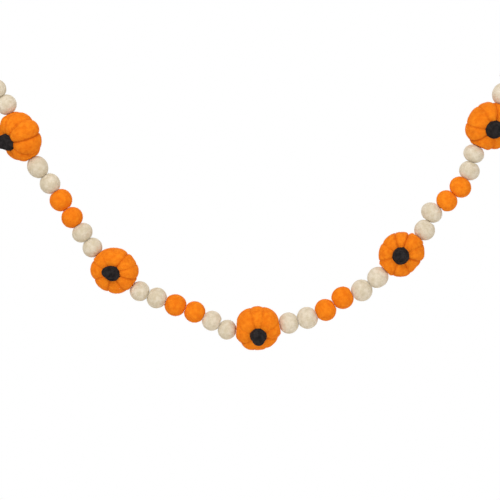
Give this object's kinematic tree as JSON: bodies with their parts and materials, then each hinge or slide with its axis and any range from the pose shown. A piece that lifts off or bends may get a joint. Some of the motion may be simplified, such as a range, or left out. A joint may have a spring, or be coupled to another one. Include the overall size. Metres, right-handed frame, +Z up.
{
  "type": "felt ball garland",
  "caption": "Swag of threaded wool felt: ivory and orange balls between lobed orange pumpkins with black stems, on a cotton string with a knotted hanging loop at each end.",
  "frame": {"origin": "top of the left end loop, where the swag hangs", "axes": "+X from the left end of the swag to its right end, +Z up, the pumpkins' stems face -Y"},
  "size_m": [0.6904, 0.0607, 0.3934],
  "materials": {
    "ivory_felt": "matte",
    "orange_felt": "matte",
    "black_felt": "matte",
    "cotton_string": "matte"
  },
  "bodies": {
    "root": {"ball_01": "ivory_felt", "ball_02": "ivory_felt", "ball_03": "ivory_felt", "ball_04": "ivory_felt", "ball_05": "orange_felt", "ball_06": "orange_felt", "ball_07": "ivory_felt", "ball_08": "ivory_felt", "ball_09": "ivory_felt", "ball_10": "ivory_felt", "ball_11": "orange_felt", "ball_12": "orange_felt", "ball_13": "ivory_felt", "ball_14": "ivory_felt", "ball_15": "ivory_felt", "ball_16": "ivory_felt", "ball_17": "orange_felt", "ball_18": "orange_felt", "ball_19": "ivory_felt", "ball_20": "ivory_felt", "ball_21": "ivory_felt", "ball_22": "ivory_felt", "ball_23": "orange_felt", "ball_24": "orange_felt", "ball_25": "ivory_felt", "ball_26": "ivory_felt", "ball_27": "ivory_felt", "ball_28": "ivory_felt", "pumpkin_1": "orange_felt", "pumpkin_2": "orange_felt", "pumpkin_3": "orange_felt", "pumpkin_4": "orange_felt", "pumpkin_5": "orange_felt", "stem_1": "black_felt", "stem_2": "black_felt", "stem_3": "black_felt", "stem_4": "black_felt", "stem_5": "black_felt", "string": "cotton_string"}
  },
  "joints": []
}
